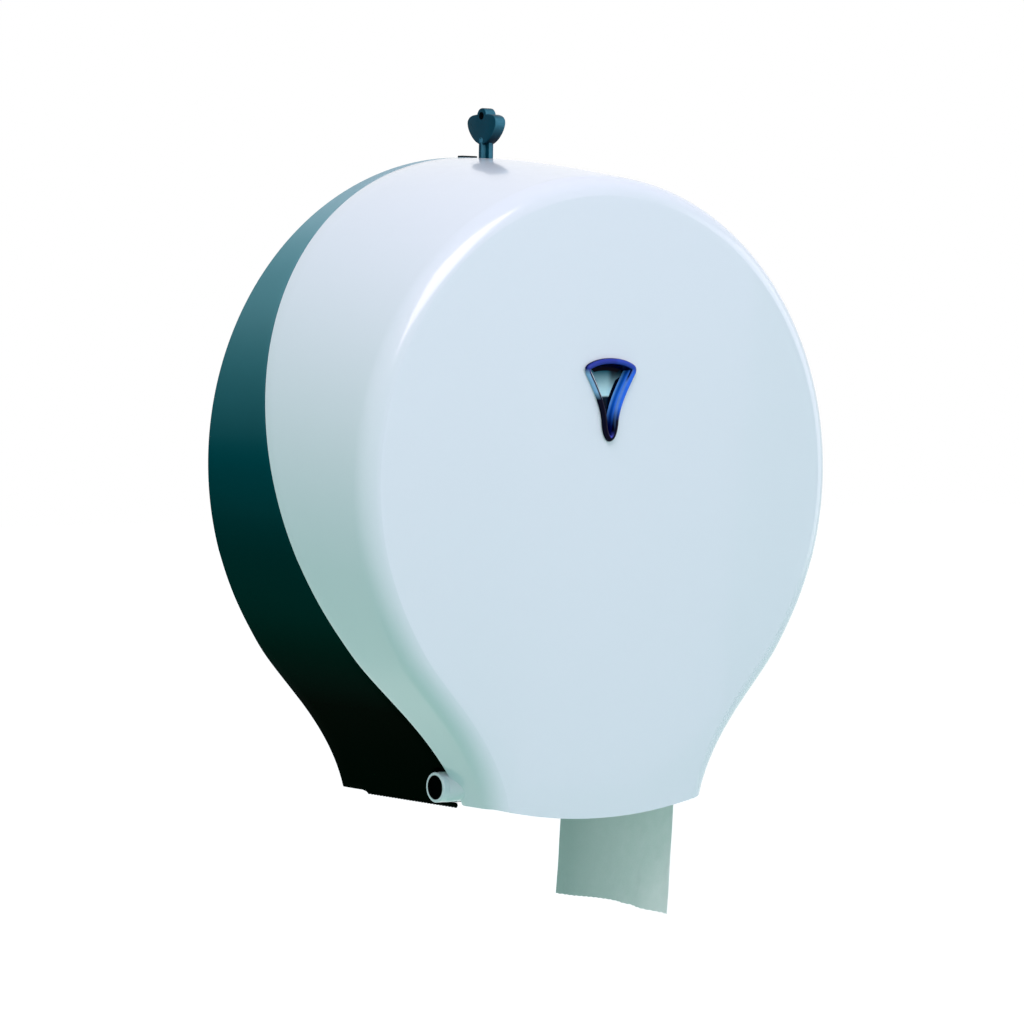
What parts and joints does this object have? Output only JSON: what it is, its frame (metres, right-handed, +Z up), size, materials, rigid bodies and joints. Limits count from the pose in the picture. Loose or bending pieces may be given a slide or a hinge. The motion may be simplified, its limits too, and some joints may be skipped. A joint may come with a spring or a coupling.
{
  "type": "toilet roll dispenser",
  "caption": "Wall-mounted jumbo toilet roll dispenser: dark shell, white drop-down cover with blue level window, top key lock, toothed tear strips and a roll on a turning hub.",
  "frame": {"origin": "on the wall plane at the back of the shell, on the axis that the roll turns about", "axes": "+Z up, +Y into the wall, -Y out into the room, +X to the right as someone facing the dispenser sees it"},
  "size_m": [0.327, 0.1304, 0.4271],
  "materials": {
    "cover_gloss": "gloss",
    "shell_dark": "satin",
    "window_blue": "gloss",
    "moulded_grey": "satin",
    "key_petrol": "satin",
    "steel": "satin",
    "tissue": "matte",
    "wound_tissue": "matte",
    "card": "matte"
  },
  "bodies": {
    "shell": {"rear_shell": "shell_dark", "cutter_left": "shell_dark", "cutter_right": "shell_dark", "hinge_pin_left": "shell_dark", "hinge_pin_right": "shell_dark", "spindle": "moulded_grey", "spindle_screw_1": "steel", "spindle_screw_2": "steel", "spindle_screw_3": "steel", "hub_retainer": "moulded_grey", "retainer_screw": "steel", "lock_strike": "moulded_grey", "strike_screw_left": "steel", "strike_screw_right": "steel", "paper_tail": "tissue"},
    "cover": {"cover": "cover_gloss", "level_window": "window_blue", "window_clip": "moulded_grey", "lock_housing": "moulded_grey"},
    "lock": {"lock_barrel": "moulded_grey", "lock_cam": "steel", "cam_screw": "steel"},
    "key": {"key": "key_petrol"},
    "roll": {"roll_hub": "moulded_grey", "roll_core": "card", "paper_roll": "wound_tissue"}
  },
  "joints": [
    {"name": "cover_hinge", "type": "hinge", "parent": "shell", "child": "cover", "pos_m": [0, -0.091, -0.1631], "axis": [1, 0, 0], "range_deg": [0, 90], "deforming": ["paper_tail"]},
    {"name": "lock_turn", "type": "hinge", "parent": "cover", "child": "lock", "pos_m": [0, -0.02, 0.16], "axis": [0, 0, 1], "range_deg": [0, 90]},
    {"name": "key_slide", "type": "slide", "parent": "lock", "child": "key", "axis": [0, 0, 1], "range_m": [0, 0.022]},
    {"name": "roll_spin", "type": "hinge", "parent": "shell", "child": "roll", "pos_m": [0, 0, 0], "axis": [0, 1, 0], "continuous": true}
  ]
}
